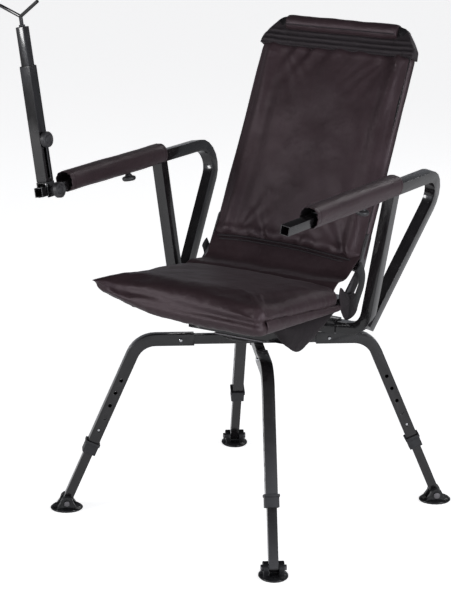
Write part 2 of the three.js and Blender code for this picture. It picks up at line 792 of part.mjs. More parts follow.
const chair = new THREE.Group();
chair.name = "blind_swivel_chair";
chair.position.x = SWIVEL_X;
chair.add(mesh("base_hub", hub(), COATED), ...swivel());
["rear_left", "rear_right", "front_right", "front_left"].forEach((name, index) => {
  chair.add(leg(name, index));
});
chair.add(
  mesh("seat_frame", seatFrame(), COATED),
  mesh("seat_pad", seatPad(), FABRIC),
  mesh("seat_pouch", seatPouch(), FABRIC),
  mesh("side_strap_left", sideStrap(1), WEBBING),
  mesh("side_strap_right", sideStrap(-1), WEBBING),
  mesh("hinge_bolt_left", hingeBolt(1), STEEL),
  mesh("hinge_bolt_right", hingeBolt(-1), STEEL),
  mesh("hinge_plate_left", hingePlate(1), STEEL),
  mesh("hinge_plate_right", hingePlate(-1), STEEL),
  back(),
  arm("left", 1),
  arm("right", -1, rifleRest()),
);

export default chair;
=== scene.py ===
"""Looks of the blind swivel chair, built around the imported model.

The chair faces -Y, so +X is the sitter's left. Lengths are in millimetres, in the axes of the part
they belong to, and Axes.at() turns them into metres in the model's own frame.
"""

import json
from math import copysign, cos, exp, pi, radians, sin

import bmesh
import bpy
import numpy as np
from mathutils import Matrix, Vector, noise
from mathutils.bvhtree import BVHTree


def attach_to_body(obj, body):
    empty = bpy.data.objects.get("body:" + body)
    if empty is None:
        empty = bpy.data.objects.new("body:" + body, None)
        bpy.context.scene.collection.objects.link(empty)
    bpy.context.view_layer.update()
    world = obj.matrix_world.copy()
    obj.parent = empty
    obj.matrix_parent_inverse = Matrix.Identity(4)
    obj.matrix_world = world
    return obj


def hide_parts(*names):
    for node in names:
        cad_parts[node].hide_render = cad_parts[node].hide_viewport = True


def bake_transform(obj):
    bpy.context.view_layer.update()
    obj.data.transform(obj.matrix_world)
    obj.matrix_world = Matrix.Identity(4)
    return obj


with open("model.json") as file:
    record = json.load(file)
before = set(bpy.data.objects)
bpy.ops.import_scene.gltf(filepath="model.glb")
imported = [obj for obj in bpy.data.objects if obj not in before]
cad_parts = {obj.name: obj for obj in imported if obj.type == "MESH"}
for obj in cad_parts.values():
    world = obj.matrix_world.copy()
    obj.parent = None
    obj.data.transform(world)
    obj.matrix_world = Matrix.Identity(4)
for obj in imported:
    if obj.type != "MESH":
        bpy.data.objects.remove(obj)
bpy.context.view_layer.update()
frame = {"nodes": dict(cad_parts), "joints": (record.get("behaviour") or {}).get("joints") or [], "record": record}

MM = 0.001
X, Y, Z = np.eye(3)
SIDES = ((1, "left"), (-1, "right"))

SEAT_PITCH = radians(4.2)       # the seat drops towards its rear
BACK_LEAN = radians(27)
ARM_LEAN = radians(9.65)        # the arms lean outwards

VOXEL = 5.0          # remesh size of the padded pieces
RAIL = 20.3          # top of the seat rails, with the running gap
HANG = 2.0           # lowest edge of the cushion's front above the underside of the rails


# ---- Places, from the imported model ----

class Axes:
    """A local set of axes: at() turns local millimetres into metres in the model's frame."""

    def __init__(self, origin, x, y, z):
        self.origin, self.basis = np.array(origin, float), np.array([x, y, z], float)

    def at(self, points):
        return self.origin + np.array(points, float) * MM @ self.basis

    def local(self, points):
        return (np.array(points, float) - self.origin) @ self.basis.T / MM


def joint(name):
    return next(j for j in frame["joints"] if j["name"] == name)


SWIVEL_X = joint("seat_swivel")["pos_m"][0]


def span(name, direction):
    """Lowest and highest reach of a CAD node along a direction, in metres."""
    reach = np.array([v.co for v in frame["nodes"][name].data.vertices], float) @ direction
    return reach.min(), reach.max()


def extent(name, direction):
    """Size of a CAD node along a direction, in millimetres."""
    low, high = span(name, direction)
    return (high - low) / MM


def tilted(angle):
    """Unit vectors to the rear and up, leaning back by an angle."""
    return (np.array([0, cos(angle), -sin(angle)]),
            np.array([0, sin(angle), cos(angle)]))


def seat_axes():
    back, up = tilted(SEAT_PITCH)
    height = (span("seat_pad", up)[0] - HANG * MM) / cos(SEAT_PITCH)
    return Axes((SWIVEL_X, 0, height), X, back, up)


def back_axes():
    deep, up = tilted(BACK_LEAN)
    corner = SWIVEL_X * X + span("back_pad", deep)[0] * deep + span("back_pad", up)[0] * up
    return Axes(corner, X, deep, up)


def arm_axes(name, side):
    turn = side * ARM_LEAN
    across = np.array([cos(turn), 0, -sin(turn)])
    up = np.array([sin(turn), 0, cos(turn)])
    node = f"arm_extension_{name}"
    middle = sum(span(node, across)) / 2 * across + sum(span(node, up)) / 2 * up
    return Axes(middle, across, Y, up)


SEAT = seat_axes()
BACK = back_axes()
ARMS = {name: arm_axes(name, side) for side, name in SIDES}

SEAT_FRONT, SEAT_REAR = [SEAT.local(v * SEAT.basis[1])[1] for v in span("seat_pad", SEAT.basis[1])]
CENTRE = SEAT.origin[0] / MM             # the swivel axis along X
SEAT_HALF = extent("seat_pad", X) / 2
HANG_REAR = SEAT.local(span("seat_frame", SEAT.basis[1])[0] * SEAT.basis[1])[1] - 2.0
BACK_HALF = extent("back_pad", X) / 2
BACK_HEIGHT = extent("back_pad", BACK.basis[2])
BACK_DEPTH = extent("back_pad", BACK.basis[1])


# ---- Materials ----

def new_material(name):
    material = bpy.data.materials.new(name)
    material.use_nodes = True
    tree = material.node_tree
    return material, tree, tree.nodes["Principled BSDF"]


def feed(tree, socket, value):
    """A socket takes a plain value, or the output of another node."""
    if isinstance(value, bpy.types.NodeSocket):
        tree.links.new(value, socket)
    else:
        socket.default_value = value


def wire(tree, node, **values):
    """Feeds inputs given by name, with spaces written as underscores."""
    for key, value in values.items():
        feed(tree, node.inputs[key.replace("_", " ")], value)


def add(tree, kind, **values):
    """A new node, with its settings and its inputs given by name."""
    node = tree.nodes.new(kind)
    for key, value in values.items():
        if hasattr(node, key):
            setattr(node, key, value)
        else:
            wire(tree, node, **{key: value})
    return node


def coordinates(tree, scale=(1, 1, 1)):
    place = tree.nodes.new("ShaderNodeTexCoord").outputs["Object"]
    return add(tree, "ShaderNodeMapping", Vector=place, Scale=scale).outputs["Vector"]


def noise_at(tree, vector, scale, detail=3.0, roughness=0.5):
    return add(tree, "ShaderNodeTexNoise", Vector=vector, Scale=scale, Detail=detail,
               Roughness=roughness).outputs["Fac"]


WAVE_RATE = 20       # a wave texture turns this many radians over one unit at scale 1


def bands(tree, vector, period, direction):
    """Fine parallel threads, one every period metres."""
    return add(tree, "ShaderNodeTexWave", wave_type="BANDS", bands_direction=direction,
               wave_profile="SIN", Vector=vector, Scale=2 * pi / WAVE_RATE / period,
               Distortion=0.4, Detail=1.0, Detail_Scale=2.0).outputs["Fac"]


def combine(tree, first, second, operation="ADD", kind="ShaderNodeMath"):
    """The output of a maths node that takes two numbers or two vectors."""
    node = add(tree, kind, operation=operation)
    feed(tree, node.inputs[0], first)
    feed(tree, node.inputs[1], second)
    return node.outputs["Value"]


def scaled(tree, value, factor):
    return combine(tree, value, factor, "MULTIPLY")


def dot(tree, first, second):
    return combine(tree, first, second, "DOT_PRODUCT", "ShaderNodeVectorMath")


def mix_colors(tree, factor, first, second):
    """The first colour where the factor is 0, and the second where it is 1."""
    node = add(tree, "ShaderNodeMix", data_type="RGBA", Factor=factor)
    feed(tree, node.inputs[6], first)
    feed(tree, node.inputs[7], second)
    return node.outputs[2]


def ramp(tree, factor, stops):
    node = tree.nodes.new("ShaderNodeValToRGB")
    elements = node.color_ramp.elements
    while len(elements) < len(stops):
        elements.new(0.5)
    for element, (place, color) in zip(elements, stops):
        element.position = place
        element.color = (*color, 1)
    tree.links.new(factor, node.inputs["Fac"])
    return node.outputs["Color"]


def grey_ramp(tree, factor, low, high, start=0.3, end=0.7):
    return ramp(tree, factor, [(start, (low,) * 3), (end, (high,) * 3)])


def bump(tree, shader, height, distance, strength=1.0, after=None):
    """Relief on top of an earlier one, if there is one."""
    node = add(tree, "ShaderNodeBump", Height=height, Strength=strength, Distance=distance)
    if after:
        wire(tree, node, Normal=after)
    wire(tree, shader, Normal=node.outputs["Normal"])
    return node.outputs["Normal"]


def cloth_material(name, dark, light, thread=0.0011, sheen=0.07, roughness=0.40):
    """A plain-woven synthetic: crossed threads, soft creases, cloudy colour and a cool sheen."""
    material, tree, shader = new_material(name)
    plain = coordinates(tree)
    cloudy = noise_at(tree, plain, 9.0, 4.0, 0.6)
    fibre = noise_at(tree, coordinates(tree, (1, 1, 2.2)), 900.0, 2.0)
    tone = combine(tree, scaled(tree, cloudy, 0.75), scaled(tree, fibre, 0.25))
    wire(tree, shader, Base_Color=ramp(tree, tone, [(0.3, dark), (0.7, light)]),
         Roughness=grey_ramp(tree, cloudy, roughness - 0.06, roughness + 0.08),
         Sheen_Weight=sheen, Sheen_Roughness=0.35, Sheen_Tint=(0.74, 0.66, 0.70, 1),
         Specular_IOR_Level=0.45, Specular_Tint=(1.0, 0.86, 0.92, 1))
    cross = [bands(tree, plain, thread, direction) for direction in "XYZ"]
    weave = combine(tree, cross[0], combine(tree, cross[1], cross[2]))
    soft = bump(tree, shader, noise_at(tree, plain, 24.0, 2.0, 0.5), 0.003, 0.22)
    crinkle = bump(tree, shader, noise_at(tree, plain, 130.0, 2.0, 0.5), 0.0006, 0.25, soft)
    bump(tree, shader, weave, 0.00012, 0.5, crinkle)
    return material


def coat_material(name, dark, light, roughness):
    """Satin powder coat over steel: fine orange peel, dust in the colour and rubbed edges."""
    material, tree, shader = new_material(name)
    plain = coordinates(tree)
    dust = noise_at(tree, plain, 35.0, 5.0, 0.65)
    base = ramp(tree, dust, [(0.35, dark), (0.7, light)])
    bevel = add(tree, "ShaderNodeBevel", samples=4, Radius=0.0012)
    shape = tree.nodes.new("ShaderNodeNewGeometry")
    flat = dot(tree, bevel.outputs["Normal"], shape.outputs["Normal"])
    edges = grey_ramp(tree, combine(tree, 1.0, flat, "SUBTRACT"), 0.0, 1.0, 0.02, 0.25)
    worn = grey_ramp(tree, noise_at(tree, plain, 60.0, 4.0), 0.0, 0.16, 0.45, 0.7)
    rubbed = mix_colors(tree, scaled(tree, edges, worn), base, (0.32, 0.31, 0.31, 1))
    wire(tree, shader, Base_Color=rubbed,
         Roughness=grey_ramp(tree, dust, roughness - 0.05, roughness + 0.10),
         Specular_IOR_Level=0.35, Coat_Weight=1.0, Coat_Roughness=0.08)
    bump(tree, shader, noise_at(tree, plain, 420.0, 2.0), 0.00025, 0.35)
    return material


def metal_material(name, color, roughness, grain=(40, 40, 900)):
    """Plated or brushed steel with a directional grain and small stains."""
    material, tree, shader = new_material(name)
    streaks = noise_at(tree, coordinates(tree, grain), 1.0, 4.0, 0.6)
    stains = noise_at(tree, coordinates(tree), 45.0, 5.0, 0.7)
    shade = combine(tree, scaled(tree, streaks, 0.5), scaled(tree, stains, 0.5))
    darker = tuple(c * 0.66 for c in color)
    wire(tree, shader, Base_Color=ramp(tree, shade, [(0.35, darker), (0.65, color)]),
         Roughness=grey_ramp(tree, shade, roughness - 0.08, roughness + 0.12), Metallic=1.0)
    bump(tree, shader, streaks, 0.0001, 0.3)
    return material


def plastic_material(name, dark, light, roughness, grain=900.0, depth=0.00015):
    """Moulded plastic with a fine spark-eroded texture and scuffs that change its gloss."""
    material, tree, shader = new_material(name)
    plain = coordinates(tree)
    scuffs = noise_at(tree, plain, 55.0, 6.0, 0.7)
    wire(tree, shader, Base_Color=ramp(tree, scuffs, [(0.35, dark), (0.72, light)]),
         Roughness=grey_ramp(tree, scuffs, roughness - 0.08, roughness + 0.14))
    bump(tree, shader, noise_at(tree, plain, grain, 2.0), depth, 0.5)
    return material


def webbing_material(name, dark, light):
    """Black webbing: ribs across the strap and a coarse thread."""
    material, tree, shader = new_material(name)
    plain = coordinates(tree)
    ribs = bands(tree, plain, 0.0016, "Z")
    fuzz = noise_at(tree, plain, 500.0, 3.0)
    wire(tree, shader, Base_Color=ramp(tree, scaled(tree, fuzz, ribs), [(0.1, dark), (0.6, light)]),
         Roughness=grey_ramp(tree, fuzz, 0.6, 0.85), Sheen_Weight=0.2)
    bump(tree, shader, combine(tree, ribs, fuzz), 0.0003, 0.6)
    return material


FABRIC = cloth_material("fabric", (0.0300, 0.0180, 0.0205), (0.0460, 0.0285, 0.0325))
BINDING = cloth_material("binding", (0.0105, 0.0088, 0.0098), (0.0185, 0.0158, 0.0172),
                         0.0008, 0.12, 0.6)
# Near-black cloth as painted shade: the bag under the seat and the inside walls of the arm sleeves
SHADED_CLOTH = cloth_material("shaded_cloth", (0.0060, 0.0052, 0.0056), (0.0110, 0.0094, 0.0102),
                        0.0011, 0.05, 0.8)
COATED = coat_material("coated_tube", (0.0062, 0.0055, 0.0060), (0.0120, 0.0108, 0.0118), 0.20)
STEEL = metal_material("steel", (0.24, 0.23, 0.24), 0.42)
BRIGHT = metal_material("bright_steel", (0.86, 0.86, 0.88), 0.16, (200, 200, 200))
KNOB = plastic_material("knob_plastic", (0.024, 0.023, 0.025), (0.052, 0.050, 0.053), 0.42)
COLLAR = plastic_material("collar_plastic", (0.018, 0.018, 0.020), (0.034, 0.034, 0.037), 0.40)
FOOT = plastic_material("foot_plastic", (0.0065, 0.0065, 0.0072), (0.014, 0.014, 0.0155), 0.24,
                        600.0, 0.0001)
WEBBING = webbing_material("webbing", (0.006, 0.006, 0.0065), (0.018, 0.0175, 0.019))
NODE_LOOKS = {"coated_tube": COATED, "steel": STEEL, "bright_steel": BRIGHT, "knob_plastic": KNOB,
              "foot_plastic": FOOT, "fabric": FABRIC, "webbing": WEBBING}


# ---- CAD nodes: materials, rounded edges and smooth bends ----

WELD_DISTANCE = 0.02
SHARP_ANGLE = radians(28)       # edges above this angle stay sharp in the shading
BEVEL_ANGLE = radians(40)       # edges above this angle are rounded


def smoothing_group():
    """A geometry node group that shades smooth, but for its sharp edges."""
    group = bpy.data.node_groups.new("smooth_by_angle", "GeometryNodeTree")
    for direction in ("INPUT", "OUTPUT"):
        group.interface.new_socket("Geometry", in_out=direction, socket_type="NodeSocketGeometry")
    start, end = group.nodes.new("NodeGroupInput"), group.nodes.new("NodeGroupOutput")
    angle = group.nodes.new("GeometryNodeInputMeshEdgeAngle").outputs["Unsigned Angle"]
    sharp = add(group, "FunctionNodeCompare", operation="GREATER_THAN", A=angle, B=SHARP_ANGLE)
    faces = add(group, "GeometryNodeSetShadeSmooth", Geometry=start.outputs[0])
    edges = add(group, "GeometryNodeSetShadeSmooth", domain="EDGE", Geometry=faces.outputs[0],
                Selection=sharp.outputs[0], Shade_Smooth=False)
    group.links.new(edges.outputs[0], end.inputs[0])
    return group


SMOOTH = smoothing_group()


def modify(piece, kind, **settings):
    modifier = piece.modifiers.new(kind.lower(), kind)
    for key, value in settings.items():
        setattr(modifier, key, value)
    return modifier


def finish_edges(piece, width):
    """Welds a faceted CAD solid, rounds its edges and shades its bends smooth."""
    normals = piece.data.attributes.get("custom_normal")
    if normals is not None:
        piece.data.attributes.remove(normals)
    modify(piece, "WELD", merge_threshold=WELD_DISTANCE * MM)
    modify(piece, "BEVEL", width=width * MM, segments=3, limit_method="ANGLE",
           angle_limit=BEVEL_ANGLE)
    modify(piece, "NODES", node_group=SMOOTH)


# Width of the rounded edges of each kind of node
EDGE_WIDTHS = {"leg_tube": 2.4, "leg_extension": 1.6, "arm_frame": 2.4, "arm_extension": 1.5,
               "mast_outer": 2.2, "mast_inner": 1.5, "mast_clevis": 0.8, "back_frame": 2.0,
               "base_hub": 0.8, "seat_frame": 1.0, "leg_collar": 1.6, "hinge_bolt": 0.7,
               "hinge_plate": 0.5, "tilt_knob": 0.8, "mast_knob": 0.8, "arm_knob": 0.8,
               "swivel": 0.5, "hub_button": 0.4, "height_button": 0.4, "fork": 0.7}
OTHER_EDGES = 0.6


def dress_cad_nodes():
    slots = {part["node"]: part["material_slot"] for part in frame["record"]["subparts"]}
    for name, piece in frame["nodes"].items():
        look = COLLAR if name.startswith("leg_collar") else NODE_LOOKS[slots[name]]
        piece.data.materials.clear()
        piece.data.materials.append(look)
        widths = [width for kind, width in EDGE_WIDTHS.items() if name.startswith(kind)]
        finish_edges(piece, widths[0] if widths else OTHER_EDGES)


# ---- Mesh helpers ----

def smoothstep(x, low, high):
    t = np.clip((np.asarray(x, float) - low) / (high - low), 0, 1)
    return t * t * (3 - 2 * t)


def gauss(x, centre, width):
    return np.exp(-((np.asarray(x, float) - centre) / width) ** 2)


def new_object(name, data):
    piece = bpy.data.objects.new(name, data)
    bpy.context.scene.collection.objects.link(piece)
    return piece


def make_mesh(name, points, faces, material, smooth=True):
    mesh = bpy.data.meshes.new(name)
    mesh.from_pydata([tuple(p) for p in points], [], [tuple(int(i) for i in f) for f in faces])
    mesh.validate()
    mesh.materials.append(material)
    piece = new_object(name, mesh)
    work = bmesh.new()
    work.from_mesh(mesh)
    bmesh.ops.recalc_face_normals(work, faces=work.faces)
    work.to_mesh(mesh)
    work.free()
    mesh.polygons.foreach_set("use_smooth", [smooth] * len(mesh.polygons))
    return piece


def loft(name, rings, material, closed_ends=True):
    """A skin over rings of equal length, with its end rings filled."""
    rings = np.array(rings, float)
    count, size = rings.shape[:2]
    steps = [(i, (i + 1) % size) for i in range(size)]
    faces = [(j + i, j + k, j + size + k, j + size + i)
             for j in range(0, (count - 1) * size, size) for i, k in steps]
    points = rings.reshape(-1, 3)
    if closed_ends:
        end, first, last = (count - 1) * size, len(points), len(points) + 1
        points = np.vstack([points, rings[0].mean(0), rings[-1].mean(0)])
        for i, k in steps:
            faces += [(first, k, i), (last, end + i, end + k)]
    return make_mesh(name, points, faces, material)


def sheet(name, grid, material, thickness):
    """A grid of points, rows by columns, as cloth with a thickness in millimetres."""
    grid = np.array(grid, float)
    rows, columns = grid.shape[:2]
    corners = [j * columns + i for j in range(rows - 1) for i in range(columns - 1)]
    faces = [(a, a + 1, a + columns + 1, a + columns) for a in corners]
    piece = make_mesh(name, grid.reshape(-1, 3), faces, material)
    modify(piece, "SOLIDIFY", thickness=thickness * MM, offset=0)
    apply_modifiers(piece)
    return piece


def apply_modifiers(piece):
    bpy.context.view_layer.update()
    graph = bpy.context.evaluated_depsgraph_get()
    mesh = bpy.data.meshes.new_from_object(piece.evaluated_get(graph))
    mesh.name = piece.name
    piece.modifiers.clear()
    piece.data = mesh


def read(mesh, quantity):
    values = np.zeros(len(mesh.vertices) * 3)
    mesh.vertices.foreach_get(quantity, values)
    return values.reshape(-1, 3)


def get_points(piece):
    return read(piece.data, "co")


def set_points(piece, points):
    piece.data.vertices.foreach_set("co", np.asarray(points, float).ravel())
    piece.data.update()


def push_out(piece, depth):
    """Moves each point along its normal, by its own depth in millimetres."""
    set_points(piece, get_points(piece) + read(piece.data, "normal") * (depth * MM)[:, None])


def remesh(piece, voxel=VOXEL):
    material = piece.data.materials[0]
    modify(piece, "REMESH", mode="VOXEL", voxel_size=voxel * MM)
    apply_modifiers(piece)
    piece.data.materials.clear()
    piece.data.materials.append(material)


def subdivide(piece):
    modify(piece, "SUBSURF", levels=1, render_levels=1)
    apply_modifiers(piece)
    piece.data.polygons.foreach_set("use_smooth", [True] * len(piece.data.polygons))


CLOTH = {"quality": 6, "mass": 0.25, "tension_stiffness": 25, "compression_stiffness": 8,
         "shear_stiffness": 8, "bending_stiffness": 0.6, "use_pressure": True,
         "vertex_group_mass": "held", "pin_stiffness": 4.0}
CLOTH_FRAMES = 20
HELD_ENOUGH = 0.02       # points held less than this are left free


def inflate(piece, held, pressure, cap):
    """Cloth simulation: the piece swells, its held points stay, none moves past the cap."""
    before = get_points(piece)
    group = piece.vertex_groups.new(name="held")
    for index in np.nonzero(held > HELD_ENOUGH)[0]:
        group.add([int(index)], float(held[index]), "REPLACE")
    cloth = modify(piece, "CLOTH")
    for key, value in CLOTH.items():
        setattr(cloth.settings, key, value)
    cloth.settings.uniform_pressure_force = pressure
    cloth.settings.effector_weights.gravity = 0
    cloth.collision_settings.use_collision = False
    cloth.point_cache.frame_start, cloth.point_cache.frame_end = 1, CLOTH_FRAMES
    scene = bpy.context.scene
    for number in range(1, CLOTH_FRAMES + 1):
        scene.frame_set(number)
    graph = bpy.context.evaluated_depsgraph_get()
    step = read(piece.evaluated_get(graph).data, "co") - before
    piece.modifiers.clear()
    piece.vertex_groups.clear()
    scene.frame_set(1)
    length = np.linalg.norm(step, axis=1, keepdims=True)
    limit = cap * MM * (1 - held[:, None])
    ease = limit * np.tanh(length / np.maximum(limit, 1e-6)) / np.maximum(length, 1e-9)
    scale = np.where(length > 1e-9, ease, 0)
    set_points(piece, before + step * scale)


def fractal(point, octaves=3):
    return noise.fractal(Vector(point), 0.9, 2.1, octaves)


def ripple(local, size, seed, octaves=3):
    """Smooth noise at local points, about -1 to 1, with features of the given size."""
    return np.array([fractal(point, octaves) for point in local / size + seed])


def cord(name, path, radius, material, sides=8):
    """A round cord along a path of points in metres."""
    path = np.array(path, float)
    tangents = np.gradient(path, axis=0)
    tangents /= np.linalg.norm(tangents, axis=1, keepdims=True)
    rings = []
    side = np.cross(tangents[0], Z)
    if np.linalg.norm(side) < 0.1:
        side = np.cross(tangents[0], X)
    for point, tangent in zip(path, tangents):
        side = side - tangent * (side @ tangent)
        side /= np.linalg.norm(side)
        other = np.cross(tangent, side)
        angles = np.arange(sides) * 2 * pi / sides
        rings.append([point + radius * MM * (cos(a) * side + sin(a) * other) for a in angles])
    return loft(name, rings, material)


def snap(piece, points, lift):
    """Points moved onto a piece, then lifted off it along its normal, in millimetres."""
    tree = BVHTree.FromObject(piece, bpy.context.evaluated_depsgraph_get())
    found = [tree.find_nearest(Vector(point))[:2] for point in points]
    return np.array([place + normal * lift * MM for place, normal in found])


OUTLINE_STEP = 7.0       # spacing of points along the straight sides
CORNER_POINTS = 7


def rounded_rectangle(x0, x1, y0, y1, radius, counts=None):
    """Points round a rectangle with rounded corners, and the number along each straight side."""
    if counts is None:
        counts = [max(2, round((length - 2 * radius) / OUTLINE_STEP))
                  for length in (x1 - x0, y1 - y0)]
    corners = [(x1 - radius, y0 + radius, -90), (x1 - radius, y1 - radius, 0),
               (x0 + radius, y1 - radius, 90), (x0 + radius, y0 + radius, 180)]
    points = []
    for index, (cx, cy, start) in enumerate(corners):
        arc = np.radians(np.linspace(start, start + 90, CORNER_POINTS))
        corner = np.stack([cx + radius * np.cos(arc), cy + radius * np.sin(arc)], 1)
        points.extend(corner)
        following = corners[(index + 1) % 4]
        angle = radians(start + 90)
        goal = np.array(following[:2]) + radius * np.array([cos(angle), sin(angle)])
        number = counts[1] if index % 2 == 0 else counts[0]
        for step in range(1, number):
            points.append(corner[-1] + (goal - corner[-1]) * step / number)
    return np.array(points), counts


def rings_of(x_range, y_range, radius, layers):
    """Rings for a pillow, from layers of (inset, height), the height a function of x and y."""
    (x0, x1), (y0, y1) = x_range, y_range
    counts = rounded_rectangle(x0, x1, y0, y1, radius)[1]
    rings = []
    for inset, height in layers:
        plan, _ = rounded_rectangle(x0 + inset, x1 - inset, y0 + inset, y1 - inset,
                                    max(radius - inset, 1.0), counts)
        rings.append(np.column_stack([plan, height(plan[:, 0], plan[:, 1])]))
    return rings


def attach(piece, body, replaces=None):
    """Rides a fabric piece on a body, in place of a CAD node if one is named."""
    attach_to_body(piece, body)
    if replaces:
        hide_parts(replaces)


# ---- Seat ----

SEAM_FRONT, SEAM_REAR = 22.0, 6.0        # side seam above the underside of the rails
ROLL = 21.0                              # radius of the cushion's rolled edge
TUCK = radians(-48)                      # where the roll ends in the seam
SEAT_CORNER = 22.0                       # radius of the cushion's corners, seen from above
SEAT_MIDDLE = 172.0                      # the top and the underside reach this far in
TOP_FRONT, TOP_FALL, TOP_TILT, TOP_CROWN = 60.0, 12.0, 0.024, 7.5
TIP_HEIGHT, TIP_REACH_X, TIP_REACH_Y = 54.0, 62.0, 40.0
TIP_PULL_X, TIP_PULL_Y, TIP_WIDTH = 38.0, 42.0, 21.0


def along_seat(y):
    """0 at the cushion's front and 1 at its rear."""
    return np.clip((np.asarray(y, float) - SEAT_FRONT) / (SEAT_REAR - SEAT_FRONT), 0, 1)


def seat_top(x, y):
    """Height of the cushion's top: thick at the front, thin at the rear, crowned across."""
    t = along_seat(y)
    plane = TOP_FRONT - TOP_FALL * t ** 1.3 - TOP_TILT * x * (1 - 0.6 * t)
    crown = TOP_CROWN * (1 - (x / SEAT_HALF) ** 2) * (1 - 0.3 * t) + 1.5 * gauss(t, 0.12, 0.12)
    return plane + crown


def seat_seam(y):
    return SEAM_FRONT + (SEAM_REAR - SEAM_FRONT) * along_seat(y)


def squeeze_corner(points):
    """Draws the right front corner of the cushion out into a flat pillow corner."""
    across = points[:, 0] + SEAT_HALF
    back = points[:, 1] - SEAT_FRONT
    pull = (np.exp(-np.maximum(across - 6, 0) / TIP_REACH_X)
            * np.exp(-np.maximum(back - 4, 0) / TIP_REACH_Y))
    pull *= 1 - smoothstep(back, 90, 150)
    points = points.copy()
    points[:, 2] += (TIP_HEIGHT - points[:, 2]) * np.clip(pull, 0, 1)
    near = np.exp(-(np.maximum(across, 0) + np.maximum(back, 0)) / TIP_WIDTH)
    points[:, 0] -= TIP_PULL_X * near
    points[:, 1] -= TIP_PULL_Y * near
    return points


# The cushion's lower side below its seam, as (inset from the seam, height)
SEAT_LOWER = [(-5, 12), (-6, 3), (-2, -5), (6, -9.5)]
UNDER_FRONT, UNDER_REAR = -7.0, RAIL + 0.7


def underside(x, y):
    """The cushion hangs below the rails in front of the frame, and rests on them behind."""
    in_front = 1 - smoothstep(y, HANG_REAR - 7, HANG_REAR)
    return UNDER_REAR + (UNDER_FRONT - UNDER_REAR) * in_front


def seat_cushion():
    layers = [(inset, seat_top) for inset in np.linspace(SEAT_MIDDLE, ROLL, 30)]
    for angle in [*np.radians([75, 60, 45, 30, 15, 0, -15, -30]), TUCK]:
        def height(x, y, angle=angle):
            top, seam = seat_top(x, y), seat_seam(y)
            rise = (top - seam) / (1 - sin(TUCK))
            return seam + rise * (sin(angle) - sin(TUCK))
        layers.append((ROLL * (1 - cos(angle)), height))
    for inset, low in SEAT_LOWER:
        def band(x, y, low=low):
            rear = seat_seam(y) - 1.0
            return rear + (low - rear) * (1 - smoothstep(y, HANG_REAR - 2, HANG_REAR + 8))
        layers.append((ROLL * (1 - cos(TUCK)) + inset, band))
    layers += [(inset, underside) for inset in np.linspace(20, SEAT_MIDDLE, 26)]
    rings = rings_of((-SEAT_HALF, SEAT_HALF), (SEAT_FRONT, SEAT_REAR + 4), SEAT_CORNER, layers)
    for ring in rings:
        facing = 1 - smoothstep(ring[:, 1], SEAT_FRONT + 8, SEAT_FRONT + 24)
        ring[:, 1] -= 7.0 * gauss(ring[:, 2], seat_seam(ring[:, 1]) - 4, 13) * facing
    rings = [squeeze_corner(ring) for ring in rings]
    piece = loft("seat_cushion", [SEAT.at(r) for r in rings], FABRIC)
    remesh(piece)
    shape_cushion(piece)
    subdivide(piece)
    attach(piece, "seat", "seat_pad")


SEAT_PRESSURE, SEAT_CAP = 3.0, 7.0


def from_edge(local):
    """Distance in from the cushion's sides and front."""
    return np.minimum(SEAT_HALF - np.abs(local[:, 0]), local[:, 1] - SEAT_FRONT)


def shape_cushion(piece):
    """Simulated swelling, held at the seam and underneath, then creases that the seams pull in."""
    local = SEAT.local(get_points(piece))
    above_seam = local[:, 2] - seat_seam(local[:, 1])
    held = gauss(np.abs(above_seam), 0, 7) * (from_edge(local) < 22) + (above_seam < -6)
    held = np.clip(held + smoothstep(local[:, 1], SEAT_REAR - 26, SEAT_REAR - 6), 0, 1)
    inflate(piece, held, SEAT_PRESSURE, SEAT_CAP)
    local = SEAT.local(get_points(piece))
    x, y, h = local.T
    edge = from_edge(local)
    side = smoothstep(y, SEAT_FRONT + 6, SEAT_FRONT + 22)
    seam = gauss(h - seat_seam(y), 0, 3.5) * (edge < 20) * (0.1 + 0.9 * side)
    wave = ripple(local * [1, 1, 0.6], 52, 3.1) * 1.3 + ripple(local, 19, 8.4) * 0.35
    on_side = (edge < 14) & (h < seat_top(x, y) - 8)
    puckers = ripple(local * [1, 1, 0.25], 15, 5.7, 2) * on_side * 1.2
    front_crease = gauss(h, 40.4 - 0.075 * (x + 100), 7) * (y < SEAT_FRONT + 12)
    push_out(piece, wave + puckers - 4.0 * seam - 3.6 * front_crease)


# ---- Back ----

TUBE_X = 177.7                           # middle of the back frame's upright tubes
RIDGE_X = 157.0                          # middle of the soft ridge inside each tube
HEM_X = 188.0                            # where the face is gathered at the sides
PAD_TOP = 487.0                          # where the top band starts
BACK_CORNER, BACK_MIDDLE = 20.0, 170.0
BACK_PRESSURE, BACK_CAP = 2.0, 6.0


def welt_height(x):
    """Height up the back of the double piping: it sags towards the sitter's left."""
    return 19.7 - 0.034 * x - 0.00029 * x * x


def back_front(x, u):
    """Depth of the back's front face: a crown, a valley and a ridge beside the frame tubes."""
    crown = -7.0 * (1 - np.clip(np.abs(x) / 150, 0, 1) ** 2.2)
    ridge = 3.0 * gauss(np.abs(x), 130, 18) - 4.5 * gauss(np.abs(x), RIDGE_X, 13)
    ends = 4.0 * gauss(u, BACK_HEIGHT - 2, 16) + 3.0 * gauss(u, 12, 14)
    return 1.5 + crown * (1 - gauss(u, BACK_HEIGHT, 40)) + ridge + ends


def back_rear(x, u):
    sag = -4.0 * (1 - np.clip(np.abs(x) / 165, 0, 1) ** 3)
    return BACK_DEPTH - 0.5 + sag + 1.2 * gauss(np.abs(x), TUBE_X, 14)


# The back's side, round from its front to the rear: (inset from the outline, share of the depth)
BACK_SIDE = [(30, 0.015), (24, 0.06), (18, 0.11), (12, 0.16), (7, 0.21), (3.4, 0.29), (1.0, 0.40),
             (0, 0.52), (0.6, 0.66), (2.6, 0.79), (6.0, 0.89), (11, 0.96), (16, 0.99)]


